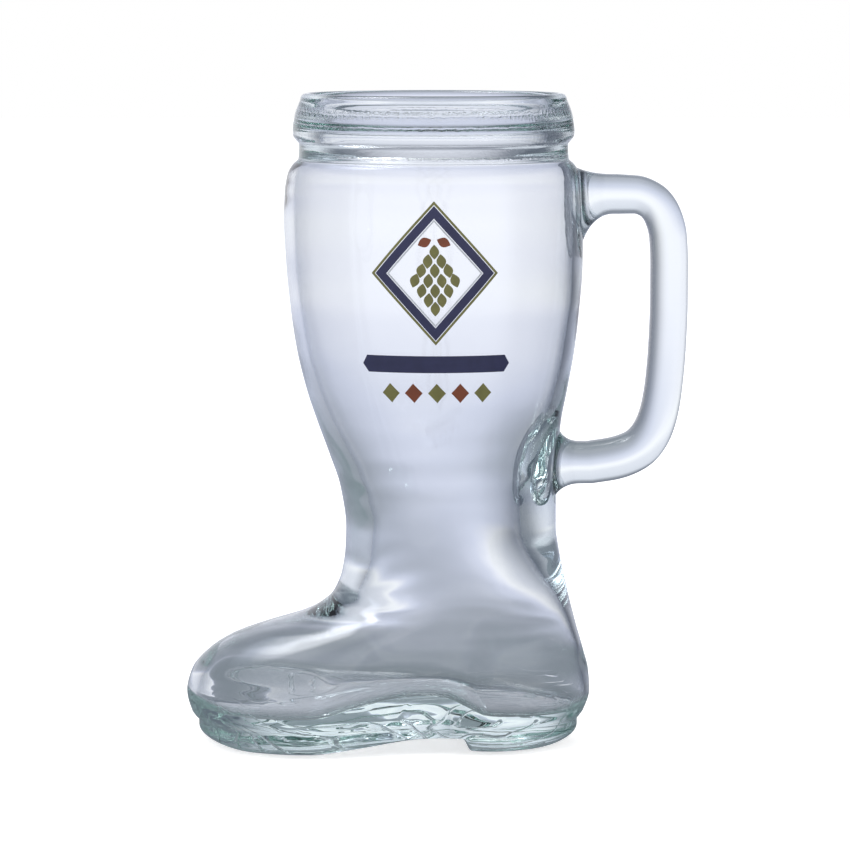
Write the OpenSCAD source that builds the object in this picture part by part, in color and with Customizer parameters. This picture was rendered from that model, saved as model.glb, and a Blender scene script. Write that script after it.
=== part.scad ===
// Beer boot glass: a hollow glass boot, a solid glass handle fused to the back of its leg,
// and a fired enamel print on the front of the leg.
// +Z is up, the toe points to -X, the handle to +X. The sole and the heel stand on z = 0,
// and the origin lies midway between the tip of the toe and the back of the handle.

/* [Height] */
// Height over all
glass_h = 197; // [185:1:210]
// From the lip down to the widest part of the leg
calf_drop = 37; // [33:1:42]
// Height of the narrowest part of the ankle
ankle_h = 66; // [60:1:72]

/* [Leg] */
// Outer radius of the leg at its widest
calf_r = 45.1; // [43.5:0.1:48]
// Outer radius of the ankle
ankle_r = 31.9; // [29:0.1:34]
// How far the ankle's centre lies behind the mouth's
ankle_lean = 5.3; // [3:0.1:7]

/* [Collar] */
// Outer radius at the top of the lip
lip_r = 40; // [38.5:0.1:41]
// Greatest outer radius of the collar
collar_r = 42.4; // [41.8:0.1:43.4]
// Outer radius of the groove under the collar
neck_r = 40.5; // [39:0.1:41]
// From the lip down to the groove
collar_h = 16.5; // [14:0.5:19]
// Inner radius of the mouth at the lip
mouth_r = 36.2; // [35:0.1:37]
// Inner radius of the throat, the narrowest place inside the collar
throat_r = 34.2; // [32:0.1:35]
// From the lip down to the throat
throat_drop = 10.5; // [9:0.5:12]
// Height of the lip's rounded edge
lip_round = 1.8; // [1:0.1:2.5]

/* [Foot] */
// From the mouth's axis to the tip of the toe
toe_reach = 75.2; // [70:0.1:82]
// From the mouth's axis to the back of the heel
heel_reach = 47.6; // [44:0.1:50]
// Width over the ball of the foot
ball_w = 69; // [66:1:74]
// Width at the waist of the foot
waist_w = 53.5; // [50:0.5:58]
// Width of the heel
heel_w = 57.5; // [54:0.5:61]
// Height of the crease above the sole
crease_h = 7.4; // [6.8:0.1:8.5]
// Height of the sole's lower edge
edge_h = 5.4; // [4.5:0.1:6]
// How far the sole rounds in from its edge to the flat it stands on
sole_round = 12; // [9:0.5:14]
// Height of the arch in front of the heel
arch_h = 5.6; // [4:0.1:5.8]
// Length of the heel block, measured from the back of the heel
heel_block_l = 36; // [32:0.5:40]
// Slant of the heel block's front face
breast_slant = 3.6; // [2:0.1:5]

/* [Walls] */
// Wall of the leg and the calf
body_wall = 3; // [2.4:0.1:3.6]
// Wall at the front of the ankle
ankle_front_wall = 6; // [4:0.1:7]
// Wall at the back of the ankle, below the handle
ankle_back_wall = 8; // [5:0.1:11]
// Wall at the sides of the ankle
ankle_side_wall = 3.4; // [3:0.1:6]
// Wall of the toe
toe_wall = 3; // [2.4:0.1:4]
// Wall at the back of the heel
heel_wall = 2; // [1.6:0.1:3]
// Wall at the sides of the foot
foot_side_wall = 3.2; // [2.4:0.1:4]
// Height of the cavity's floor in the toe and the heel
floor_h = 12.2; // [10:0.1:13]
// Height of the floor's hump over the arch
hump_h = 18; // [15:0.1:19]
// Fillet between the cavity's wall and its floor
floor_fillet = 3; // [1.5:0.1:4]

/* [Handle] */
// From the mouth's axis to the back of the handle
handle_reach = 76.7; // [72:0.1:82]
// Thickness of the handle's bar, seen from the side
bar_t = 11.4; // [9:0.1:13]
// Thickness of its arms where they near the leg
arm_t = 12.8; // [10:0.1:14]
// Width of the handle's bar
bar_w = 16; // [13:0.1:18]
// From the lip down to the middle of the upper arm
upper_drop = 30.2; // [28:0.1:32]
// Height of the middle of the lower arm
lower_h = 85.5; // [83:0.1:92]
// Length of the flare where the upper arm meets the leg
upper_flare = 9; // [7:0.1:10]
// Length of the flare where the lower arm meets the leg
lower_flare = 6.5; // [4:0.1:7]
// Clearance at each seat of the handle
seat_gap = 0.12; // [0.1:0.01:0.2]

/* [Print] */
// From the calf's widest height down to the lozenge's centre
print_drop = 14; // [12:0.5:18]
// Half width of the lozenge, measured round the leg
lozenge_w = 19; // [16:0.5:20]
// Half height of the lozenge
lozenge_h = 21; // [18:0.5:22]
// Half length of the bar under the lozenge
stripe_l = 24; // [20:0.5:26]
// Height of the bar
stripe_h = 5; // [4:0.1:6]
// Space between the lozenge, the bar and the row of diamonds
print_space = 3.2; // [2.6:0.1:4]
// Half width of a diamond in the row
diamond_r = 2.9; // [2.2:0.1:3.1]
// Thickness of the enamel
enamel_t = 0.12; // [0.1:0.01:0.2]

/* [Hidden] */

glass_colour = [0.80, 0.87, 0.88, 0.45];
navy_colour = [0.13, 0.14, 0.27];
gold_colour = [0.44, 0.43, 0.22];
rust_colour = [0.48, 0.24, 0.13];
silver_colour = [0.72, 0.74, 0.77];

// The origin's place along X, seen from the mouth's axis
x_shift = (toe_reach - handle_reach) / 2;
calf_z = glass_h - calf_drop;
print_z = calf_z - print_drop;
groove_z = glass_h - collar_h;
throat_z = glass_h - throat_drop;
ankle_front = ankle_r - ankle_lean;
ankle_back = ankle_r + ankle_lean;
breast_low = heel_reach - heel_block_l;
breast_top = breast_low - breast_slant;

// Each foot row: height from crease to ankle, reach of toe and heel from the ankle's,
// how far the outline is a foot's and not a leg's, and the width beside the full one.
foot_shares = [
    [0.00, 0.926, 0.64, 1.00, 0.955], [0.04, 0.969, 0.82, 1.00, 0.985], [0.145, 1.000, 1.00, 1.00, 1],
    [0.25, 0.969, 0.96, 0.88, 1], [0.345, 0.872, 0.825, 0.62, 1], [0.42, 0.733, 0.705, 0.38, 1],
    [0.477, 0.541, 0.61, 0.22, 1], [0.525, 0.340, 0.54, 0.13, 1], [0.578, 0.193, 0.46, 0.06, 1],
    [0.655, 0.082, 0.355, 0.02, 1], [0.77, 0.025, 0.21, 0.00, 1], [0.89, 0.004, 0.08, 0.00, 1],
    [1.00, 0.000, 0.00, 0.00, 1]
];
// Each leg row: height from ankle to calf, and reach of front and back between the two.
leg_shares = [
    [0.13, 0.09, 0.00], [0.235, 0.265, 0.06], [0.34, 0.46, 0.18], [0.447, 0.64, 0.42],
    [0.574, 0.795, 0.685], [0.70, 0.89, 0.86], [0.85, 0.965, 0.985], [1.00, 1.00, 1.00]
];
// Each shoulder row: height from calf to groove, and radius between the groove's and the calf's.
shoulder_shares = [[0.39, 0.93], [0.634, 0.74], [0.72, 0.56], [0.79, 0.33], [0.85, 0.04], [1, 0]];
// Each collar row: height from groove to lip edge, and radius between the groove's and the collar's.
collar_shares = [[0.11, 0.02], [0.17, 0.45], [0.26, 0.93], [0.36, 1.00], [0.70, 0.60]];
// Each throat row: way down from the throat to the calf, and radius between the throat's and the calf's.
throat_shares = [[0.08, 0], [0.19, 0.18], [0.31, 0.48], [0.42, 0.76], [0.58, 0.95], [0.77, 1]];
// Each mouth row: way down from the lip edge to the throat, and radius between the throat's and the mouth's.
mouth_shares = [[0.35, 1.1], [0.75, 1.1], [0.87, 0.85], [1, 0]];
// Each wall row in the foot: height beside the ankle's, and the wall at front, back and side
// between the foot's wall and the ankle's.
foot_wall_shares = [
    [0.24, 0.00, 0.04, 0.0], [0.42, 0.00, 0.02, 0.0], [0.51, 0.07, 0.04, 0.1], [0.567, 0.30, 0.07, 0.2],
    [0.63, 0.65, 0.12, 0.35], [0.73, 0.95, 0.28, 0.6], [0.86, 1.00, 0.65, 0.9], [1.00, 0.97, 0.95, 1.0]
];
// Each wall row in the leg: height from ankle to calf, and the wall between the leg's and the ankle's.
leg_wall_shares = [
    [0.11, 0.80, 1.00, 0.90], [0.19, 0.67, 0.87, 0.75], [0.25, 0.55, 0.66, 0.60], [0.36, 0.33, 0.20, 0.35],
    [0.45, 0.20, 0.08, 0.20], [0.58, 0.07, 0.03, 0.05], [0.75, 0, 0, 0], [1, 0, 0, 0]
];
// Each sole row: way from the toe's edge to the heel block, and height beside the arch's.
sole_shares = [
    [0, 0.10], [0.19, 0], [0.445, 0], [0.545, 0.13], [0.70, 0.43], [0.82, 0.73], [0.93, 0.93], [1, 1]
];
// Each floor row: way from the toe's tip to the heel's, and height between the floor's and the hump's.
floor_shares = [
    [0, 0.30], [0.14, 0], [0.30, 0], [0.40, 0.43], [0.515, 0.90], [0.59, 1.00], [0.645, 0.90],
    [0.70, 0.45], [0.75, 0.03], [0.90, -0.06], [1, 0.05]
];
// Each row of the handle's middle line: way out from the calf to the back, height between its arms,
// and thickness between the bar's and the arms'.
bar_shares = [
    [0.38, 1.00, 0.45], [0.60, 0.998, 0.15], [0.79, 0.975, 0], [0.92, 0.92, 0], [0.985, 0.84, 0], [1.00, 0.73, 0],
    [1.00, 0.60, 0], [0.985, 0.45, 0], [0.957, 0.326, 0], [0.91, 0.215, 0.10], [0.825, 0.125, 0.35],
    [0.65, 0.052, 0.70], [0.385, 0.016, 1], [0.08, 0.00, 1]
];
// How much a flare widens the arm upwards, downwards and sideways, beside its length
upper_flare_shares = [0.35, 1.5, 0.4];
lower_flare_shares = [1.00, 0.95, 0.5];
// How far over the hump the cavity's wall starts to follow the floor, beside the fillet
drop_share = 1.5;
// Places along the foot of the ball and of the heel's widest part, beside the toe's and heel's reach
ball_share = 0.6;
heel_share = 0.48;

// How full the foot's outline is at its ends beyond an ellipse, whose power is 2
ellipse_power = 2;
foot_power = 1;
// Power of the handle's rounded section, and of the pull that rounds the sole's ends in
bar_power = 2.6;
pull_power = 5;

// Columns of the mesh on each half: round the heel block, and from there to the toe
heel_steps = 11;
toe_steps = 18;
half_steps = heel_steps + 1 + toe_steps;
// Rings between two rows of the foot, on a rounded edge, and between two rows of the handle
foot_row_steps = 2;
drop_steps = 2;
round_steps = 4;
lip_steps = 6;
bar_steps = 2;
section_steps = 20;

// The value at k of a smooth curve through the values at the rising keys.
function step_at(keys, k, i = 0) = i >= len(keys) - 2 || k < keys[i + 1] ? i : step_at(keys, k, i + 1);
function chord(keys, values, i) = (values[i + 1] - values[i]) / (keys[i + 1] - keys[i]);
function slope(keys, values, i) =
    let (last = len(keys) - 1,
         before = chord(keys, values, max(i - 1, 0)),
         after = chord(keys, values, min(i, last - 1)))
    before * after > 0 ? 2 * before * after / (before + after) : 0;
function smooth(keys, values, k) =
    let (i = step_at(keys, k),
         h = keys[i + 1] - keys[i],
         t = min(max((k - keys[i]) / h, 0), 1),
         from = values[i],
         to = values[i + 1],
         leave = slope(keys, values, i) * h,
         arrive = slope(keys, values, i + 1) * h)
    from + t * leave + t * t * (3 * (to - from) - 2 * leave - arrive)
         + t * t * t * (2 * (from - to) + leave + arrive);
function mix(a, b, t) = a + (b - a) * t;
function column(rows, n) = [for (row = rows) row[n]];
function signed_power(v, p) = sign(v) * pow(abs(v), p);

// Outside, from the crease up. A row is a height, the reach of the front, the reach of the back,
// the foot share, the width share, half the leg's width, and the wall to take off at the sides.
foot_rows = [
    for (s = foot_shares)
        [mix(crease_h, ankle_h, s[0]), mix(ankle_front, toe_reach, s[1]), mix(ankle_back, heel_reach, s[2]),
         s[3], s[4], ankle_r, 0]
];
function leg_row(z, front, back) = [z, front, back, 0, 1, (front + back) / 2, 0];
function round_row(z, r, wall = 0) = [z, r, r, 0, 1, r + wall, wall];
leg_rows = [
    for (s = leg_shares)
        leg_row(mix(ankle_h, calf_z, s[0]), mix(ankle_front, calf_r, s[1]), mix(ankle_back, calf_r, s[2]))
];
shoulder_rows = [
    for (s = shoulder_shares) round_row(mix(calf_z, groove_z, s[0]), mix(neck_r, calf_r, s[1]))
];
lip_z = glass_h - lip_round;
collar_rows = [
    for (s = collar_shares) round_row(mix(groove_z, lip_z, s[0]), mix(neck_r, collar_r, s[1]))
];
outer_rows = concat(foot_rows, leg_rows, shoulder_rows, collar_rows, [round_row(lip_z, lip_r)]);
outer_keys = column(outer_rows, 0);
outer_columns = [for (n = [1:6]) column(outer_rows, n)];
// The outside at height z, as a row
function outer_at(z) = concat([z], [for (values = outer_columns) smooth(outer_keys, values, z)]);

// Half the width of a foot's outline at x, before its ends are rounded
ball_x = -ball_share * toe_reach;
heel_x = heel_share * heel_reach;
function end_round(u, power) = sqrt(max(1 - pow(min(abs(u), 1), power), 0));
foot_middle = (heel_reach - toe_reach) / 2;
foot_half = (heel_reach + toe_reach) / 2;
full_power = ellipse_power + foot_power;
ball_half = ball_w / 2 / end_round((ball_x - foot_middle) / foot_half, full_power);
heel_half = heel_w / 2 / end_round((heel_x - foot_middle) / foot_half, full_power);
side_keys = [-toe_reach, ball_x, 0, heel_x, heel_reach];
side_values = [ball_half, ball_half, waist_w / 2, heel_half, heel_half];

// The angles of the columns: one on each edge of the heel block's front face
edge_front = outer_rows[0][1];
edge_back = outer_rows[0][2];
function edge_angle(x) = acos((2 * x + edge_front - edge_back) / (edge_front + edge_back));
low_angle = edge_angle(breast_low);
top_angle = edge_angle(breast_top);
half_angles = concat(
    [for (i = [0:heel_steps]) low_angle * i / heel_steps],
    [for (i = [0:toe_steps]) mix(top_angle, 180, i / toe_steps)]
);
angles = concat(half_angles, [for (i = [half_steps - 1:-1:1]) 360 - half_angles[i]]);
column_count = len(angles);

// One point of a row's outline at an angle, drawn in by inset at the ends and sides
function outline(row, angle, inset = 0) =
    let (middle = (row[2] - row[1]) / 2,
         half = (row[2] + row[1]) / 2,
         u = cos(angle),
         x = middle + half * u,
         full = mix(row[5], smooth(side_keys, side_values, x), row[3]) * row[4] - row[6],
         side = full * end_round(u, ellipse_power + foot_power * row[3]))
    [x - inset * signed_power(u, pull_power), sign(sin(angle)) * side * (1 - inset / full)];
function level_ring(row) = [for (a = angles) concat(outline(row, a), row[0])];

// Heights that split the spans between the given ones into so many steps
function split(heights, steps) = concat(
    [for (i = [0:len(heights) - 2]) for (k = [0:steps - 1]) mix(heights[i], heights[i + 1], k / steps)],
    [heights[len(heights) - 1]]
);

// Sole: the rounded underside, from the flat it stands on out to its edge
function sole_z(x) =
    x > (breast_low + breast_top) / 2 ? 0
    : arch_h * smooth([for (s = sole_shares) mix(-edge_front, breast_top, s[0])], column(sole_shares, 1), x);
function sole_ring(turn) = [
    for (a = angles)
        let (low = sole_z(outline(outer_rows[0], a)[0]),
             p = outline(outer_rows[0], a, sole_round * (1 - cos(turn))))
        [p[0], p[1], mix(edge_h, low, sin(turn))]
];
sole_rings = [for (k = [round_steps:-1:0]) sole_ring(90 * k / round_steps)];

// Outside from the crease to the lip's edge
outer_heights = concat(
    split(column(foot_rows, 0), foot_row_steps),
    column(leg_rows, 0),
    column(shoulder_rows, 0),
    column(collar_rows, 0),
    [lip_z]
);
outer_rings = [for (z = outer_heights) level_ring(outer_at(z))];

// Lip: half an oval over the top
lip_middle = (lip_r + mouth_r) / 2;
lip_half = (lip_r - mouth_r) / 2;
lip_rings = [
    for (k = [1:lip_steps - 1])
        let (turn = 180 * k / lip_steps)
        level_ring(round_row(lip_z + lip_round * sin(turn), lip_middle + lip_half * cos(turn)))
];

// Inside, from the lip's edge down
mouth_rows = concat(
    [round_row(lip_z, mouth_r, body_wall)],
    [for (s = mouth_shares)
        round_row(mix(lip_z, throat_z, s[0]), mix(throat_r, mouth_r, s[1]), body_wall)],
    [for (s = throat_shares)
        round_row(mix(throat_z, calf_z, s[0]), mix(throat_r, calf_r - body_wall, s[1]), body_wall)]
);
function inner_row(z, front_wall, back_wall, side_wall) =
    let (o = outer_at(z))
    [z, o[1] - front_wall, o[2] - back_wall, o[3], o[4], o[5], side_wall];
leg_wall_rows = [
    for (i = [len(leg_wall_shares) - 1:-1:0])
        let (s = leg_wall_shares[i])
        inner_row(mix(ankle_h, calf_z, s[0]), mix(body_wall, ankle_front_wall, s[1]),
                  mix(body_wall, ankle_back_wall, s[2]), mix(body_wall, ankle_side_wall, s[3]))
];
foot_wall_rows = [
    for (i = [len(foot_wall_shares) - 1:-1:0])
        let (s = foot_wall_shares[i])
        inner_row(ankle_h * s[0], mix(toe_wall, ankle_front_wall, s[1]),
                  mix(heel_wall, ankle_back_wall, s[2]), mix(foot_side_wall, ankle_side_wall, s[3]))
];
inner_rows = concat(mouth_rows, leg_wall_rows, foot_wall_rows);
inner_keys = [for (row = inner_rows) -row[0]];
inner_columns = [for (n = [1:6]) column(inner_rows, n)];
function inner_at(z) = concat([z], [for (values = inner_columns) smooth(inner_keys, values, -z)]);

// The wall follows the floor from a little above the hump
drop_z = hump_h + drop_share * floor_fillet;
inner_heights = concat(
    column(mouth_rows, 0),
    column(leg_wall_rows, 0),
    [for (z = split(column(foot_wall_rows, 0), foot_row_steps)) if (z > drop_z) z]
);
inner_rings = [for (z = inner_heights) level_ring(inner_at(z))];

// Floor: rings that drop to the fillet, follow the hump and round in from the wall
function floor_z(x) = mix(
    floor_h, hump_h,
    smooth([for (s = floor_shares) mix(toe_wall - toe_reach, heel_reach - heel_wall, s[0])],
           column(floor_shares, 1), x)
);
function floor_ring(drop, turn) = [
    for (a = angles)
        let (low = floor_z(outline(inner_at(drop_z), a)[0]) + floor_fillet,
             start = mix(drop_z, low, drop),
             p = outline(inner_at(start), a, floor_fillet * (1 - cos(turn))))
        [p[0], p[1], mix(start, floor_z(p[0]), sin(turn))]
];
floor_rings = concat(
    [for (k = [0:drop_steps - 1]) floor_ring(k / drop_steps, 0)],
    [for (k = [0:round_steps]) floor_ring(1, 90 * k / round_steps)]
);

// A closed skin over rings of equal count
function band_faces(rings, count) = [
    for (r = [0:rings - 2]) for (i = [0:count - 1])
        let (a = r * count + i, b = r * count + (i + 1) % count)
        each [[a, a + count, b], [b, a + count, b + count]]
];
// A cap laid straight across a ring, from each point to its mirror image
function cross_faces(first, count, up) = [
    for (i = [0:count / 2 - 1])
        let (a = first + i, b = first + i + 1,
             c = first + (count - i - 1) % count, d = first + (count - i) % count)
        each concat(
            b == c ? [] : [up ? [a, c, b] : [a, b, c]],
            a == d ? [] : [up ? [a, d, c] : [a, c, d]])
];

module vessel() {
    rings = concat(sole_rings, outer_rings, lip_rings, inner_rings, floor_rings);
    points = [for (ring = rings) each ring];
    color(glass_colour)
        translate([x_shift, 0, 0])
            polyhedron(points,
                concat(band_faces(len(rings), column_count),
                       cross_faces(0, column_count, false),
                       cross_faces((len(rings) - 1) * column_count, column_count, true)));
}

// The back of the leg at a height, y off the middle
function back_x(z, y) =
    let (row = outer_at(z), middle = (row[2] - row[1]) / 2, r = (row[2] + row[1]) / 2)
    middle + sqrt(r * r - y * y);

upper_z = glass_h - upper_drop;
bar_x = handle_reach - bar_t / 2;
bar_points = [for (s = bar_shares) [mix(calf_r, bar_x, s[0]), mix(lower_h, upper_z, s[1])]];
bar_keys = [for (i = [0:len(bar_points) - 1]) i];
function bar_at(k) = [for (n = [0:1]) smooth(bar_keys, column(bar_points, n), k)];
function half_t(k) = mix(bar_t, arm_t, smooth(bar_keys, column(bar_shares, 2), k)) / 2;

section_angles = [for (i = [0:section_steps - 1]) 360 * i / section_steps];
function section_y(a) = signed_power(cos(a), 2 / bar_power);
function section_t(a) = signed_power(sin(a), 2 / bar_power);

// One ring round the bar at place k of its middle line
function bar_ring(k) =
    let (p = bar_at(k),
         ahead = bar_at(min(k + 1 / bar_steps, len(bar_points) - 1)),
         behind = bar_at(max(k - 1 / bar_steps, 0)),
         way = (ahead - behind) / norm(ahead - behind))
    [for (a = section_angles)
        [p[0] - way[1] * section_t(a) * half_t(k), section_y(a) * bar_w / 2,
         p[1] + way[0] * section_t(a) * half_t(k)]];

// One ring of a root: on the leg at turn 0, and the plain bar at turn 90.
// At the lower root the bar runs the other way, which flip allows for.
function root_ring(z, flare, flare_shares, turn, flip, size = 1) =
    [for (a = section_angles)
        let (open = flare * (1 - sin(turn)),
             half = half_t(flip > 0 ? 0 : len(bar_points) - 1),
             rise = section_t(a) * flip,
             y = size * section_y(a) * (bar_w / 2 + open * flare_shares[2]),
             h = size * rise * (half + open * (rise > 0 ? flare_shares[0] : flare_shares[1])),
             x = mix(back_x(z + h, y) + seat_gap, back_x(z, 0) + flare, 1 - cos(turn)))
        [x, y, z + h]];
// Sizes of the rings that close a root's seat on the leg, and the turns of its flare
seat_shares = [0.25, 0.6];
flare_turns = [for (k = [0:round_steps]) 90 * k / round_steps];

module handle() {
    last = len(bar_points) - 1;
    upper = concat(
        [for (s = seat_shares) root_ring(upper_z, upper_flare, upper_flare_shares, 0, 1, s)],
        [for (t = flare_turns) root_ring(upper_z, upper_flare, upper_flare_shares, t, 1)]
    );
    lower = concat(
        [for (i = [round_steps:-1:0]) root_ring(lower_h, lower_flare, lower_flare_shares, flare_turns[i], -1)],
        [for (i = [len(seat_shares) - 1:-1:0])
            root_ring(lower_h, lower_flare, lower_flare_shares, 0, -1, seat_shares[i])]
    );
    bar = [for (i = [0:last * bar_steps]) bar_ring(i / bar_steps)];
    rings = concat(upper, bar, lower);
    count = section_steps;
    points = concat(
        [for (ring = rings) each ring],
        [[back_x(upper_z, 0) + seat_gap, 0, upper_z], [back_x(lower_h, 0) + seat_gap, 0, lower_h]]
    );
    first_seat = len(rings) * count;
    last_ring = (len(rings) - 1) * count;
    color(glass_colour)
        translate([x_shift, 0, 0])
            polyhedron(points, concat(
                band_faces(len(rings), count),
                [for (i = [0:count - 1]) [first_seat, i, (i + 1) % count]],
                [for (i = [0:count - 1]) [first_seat + 1, last_ring + (i + 1) % count, last_ring + i]]));
}

// A point on the front of the leg, s round from the middle at height z, lifted off the glass
function on_front(s, z, lift) =
    let (row = outer_at(z), middle = (row[2] - row[1]) / 2, r = (row[2] + row[1]) / 2,
         turn = s / calf_r * 180 / PI)
    [middle + (r + lift) * sin(turn), -(r + lift) * cos(turn), z];

// A thin layer of enamel between two edges, each a list of [round, height]
module layer(left, right, closed) {
    count = len(left);
    points = [
        for (i = [0:count - 1])
            each [on_front(left[i][0], left[i][1], seat_gap), on_front(right[i][0], right[i][1], seat_gap),
                  on_front(right[i][0], right[i][1], seat_gap + enamel_t),
                  on_front(left[i][0], left[i][1], seat_gap + enamel_t)]
    ];
    spans = closed ? count : count - 1;
    sides = [
        for (i = [0:spans - 1]) for (k = [0:3])
            let (a = 4 * i, b = 4 * ((i + 1) % count), n = (k + 1) % 4)
            each [[a + k, b + k, a + n], [a + n, b + k, b + n]]
    ];
    last = 4 * (count - 1);
    ends = closed ? [] : [[0, 1, 2], [0, 2, 3], [last, last + 2, last + 1], [last, last + 3, last + 2]];
    translate([x_shift, 0, 0])
        polyhedron(points, concat(sides, ends));
}

// A lozenge's edge of a share of the full size, walked round from its top in even steps
lozenge_steps = 7;
corners = [[0, 1], [-1, 0], [0, -1], [1, 0]];
function lozenge_edge(size) = [
    for (k = [0:3]) for (i = [0:lozenge_steps - 1])
        let (p = mix(corners[k], corners[(k + 1) % 4], i / lozenge_steps))
        [p[0] * lozenge_w * size, print_z + p[1] * lozenge_h * size]
];
module lozenge_frame(edge_shares) {
    layer(lozenge_edge(edge_shares[1]), lozenge_edge(edge_shares[0]), true);
}
// Outer and inner edge of each frame
gold_frame_shares = [1, 0.95];
navy_frame_shares = [0.935, 0.76];
silver_frame_shares = [0.745, 0.715];

// A leaf with its foot at a place, so long and so wide, leaning clockwise by angle
leaf_steps = 6;
leaf_tip_share = 0.06;
module leaf(foot, length, half_w, angle) {
    function place(along, across) =
        [foot[0] + along * sin(angle) + across * cos(angle), foot[1] + along * cos(angle) - across * sin(angle)];
    function wide(i) = half_w * mix(leaf_tip_share, 1, sin(180 * i / leaf_steps));
    layer([for (i = [0:leaf_steps]) place(length * i / leaf_steps, -wide(i))],
          [for (i = [0:leaf_steps]) place(length * i / leaf_steps, wide(i))], false);
}

// The cone: rows of scales that hang from its top. Each row has a count and a height,
// and the last shares are a scale's length and half width and the space between two, beside the lozenge's.
cone_shares = [[1, 0.40], [2, 0.27], [3, 0.14], [4, 0.00], [3, -0.14], [2, -0.27], [1, -0.39]];
scale_shares = [0.2, 0.075, 0.185];
scale_lean = 12;
module cone_scales() {
    for (row = cone_shares, i = [0:row[0] - 1]) {
        side = i - (row[0] - 1) / 2;
        leaf([side * scale_shares[2] * lozenge_w, print_z + row[1] * lozenge_h],
             scale_shares[0] * lozenge_h, scale_shares[1] * lozenge_w, 180 - scale_lean * side);
    }
}
// The pair of leaves over the cone: place of the foot, length and half width, beside the lozenge's size
leaf_shares = [0.045, 0.47, 0.22, 0.075];
leaf_lean = 112;
module leaf_pair() {
    for (side = [-1, 1])
        leaf([side * lozenge_w * leaf_shares[0], print_z + lozenge_h * leaf_shares[1]],
             lozenge_w * leaf_shares[2], lozenge_w * leaf_shares[3], side * leaf_lean);
}

stripe_z = print_z - lozenge_h - print_space - stripe_h / 2;
row_z = stripe_z - stripe_h / 2 - print_space - diamond_r;
stripe_steps = 16;
stripe_end_share = 0.03;
module stripe() {
    function along(i) = mix(-stripe_l, stripe_l, i / stripe_steps);
    function tall(i) = stripe_h / 2 * (i == 0 || i == stripe_steps ? stripe_end_share : 1);
    layer([for (i = [0:stripe_steps]) [along(i), stripe_z + tall(i)]],
          [for (i = [0:stripe_steps]) [along(i), stripe_z - tall(i)]], false);
}
module diamond(s) {
    half_share = 0.5;
    function tall(i) = diamond_r * max(1 - abs(i), stripe_end_share);
    steps = [-1, -half_share, 0, half_share, 1];
    layer([for (i = steps) [s + diamond_r * i, row_z + tall(i)]],
          [for (i = steps) [s + diamond_r * i, row_z - tall(i)]], false);
}
// Space between two diamonds, beside the bar's half length
spacing_share = 0.32;
module diamonds(places) {
    for (i = places) diamond(i * spacing_share * stripe_l);
}

module print_navy() {
    color(navy_colour) {
        lozenge_frame(navy_frame_shares);
        stripe();
    }
}
module print_gold() {
    color(gold_colour) {
        lozenge_frame(gold_frame_shares);
        cone_scales();
        diamonds([-2, 0, 2]);
    }
}
module print_rust() {
    color(rust_colour) {
        leaf_pair();
        diamonds([-1, 1]);
    }
}
module print_silver() {
    color(silver_colour) lozenge_frame(silver_frame_shares);
}

vessel();
handle();
print_navy();
print_gold();
print_rust();
print_silver();
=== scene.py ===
"""Beer boot glass: a hollow pressed glass boot with a glass handle and a fired enamel print.

Lengths are in metres. +Z is up, the toe points to -X, the handle to +X, and the print faces -Y.
"""

import logging
import math
from bisect import bisect_right
from dataclasses import dataclass, field
from enum import Enum
from functools import reduce
from typing import Callable, Sequence

import bmesh
import bpy
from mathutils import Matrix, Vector


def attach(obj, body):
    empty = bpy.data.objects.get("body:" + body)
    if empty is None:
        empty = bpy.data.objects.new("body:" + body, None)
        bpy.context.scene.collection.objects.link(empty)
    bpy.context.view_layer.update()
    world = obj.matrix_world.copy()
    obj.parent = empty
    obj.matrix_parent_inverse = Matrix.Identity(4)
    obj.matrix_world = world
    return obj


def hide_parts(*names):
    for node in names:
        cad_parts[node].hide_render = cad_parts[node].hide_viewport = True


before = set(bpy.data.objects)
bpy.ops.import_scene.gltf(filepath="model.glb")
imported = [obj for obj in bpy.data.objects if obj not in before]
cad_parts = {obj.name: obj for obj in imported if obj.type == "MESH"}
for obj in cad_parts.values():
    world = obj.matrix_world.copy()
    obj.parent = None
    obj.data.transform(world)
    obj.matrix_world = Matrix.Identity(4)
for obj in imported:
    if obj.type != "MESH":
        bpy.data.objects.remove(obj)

LOG = logging.getLogger("boot")
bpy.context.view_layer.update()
# Gaps at which doubles merge, flat faces go, and the seam of a patch closes
DOUBLES_GAP = 1e-7
FLAT_GAP = 1e-8
SEAM_GAP = 1e-6

Material = bpy.types.Material
Piece = bpy.types.Object
Socket = bpy.types.NodeSocket
Point = tuple[float, float, float]
Colour = tuple[float, float, float]
Ring = list[Point]
WHITE: Colour = (1.0, 1.0, 1.0)


def mix(a: float, b: float, t: float) -> float:
    """Returns the value a share t of the way from a to b."""
    return a + (b - a) * t


def signed_power(value: float, power: float) -> float:
    """Returns the value raised to a power, with its sign kept."""
    return math.copysign(abs(value) ** power, value)


def spread(start: float, end: float, steps: int) -> list[float]:
    """Returns steps + 1 even values from start to end."""
    return [mix(start, end, i / steps) for i in range(steps + 1)]


def refine(values: Sequence[float], gap: float) -> list[float]:
    """Splits the spans between values so that no span is longer than gap.

    Args:
        values: Heights in order, rising or falling.
        gap: The longest span to leave.

    Returns:
        The heights, with even ones added between them.
    """
    out: list[float] = []
    for a, b in zip(values, values[1:]):
        out.extend(spread(a, b, max(1, math.ceil(abs(b - a) / gap)))[:-1])
    return out + [values[-1]]


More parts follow.
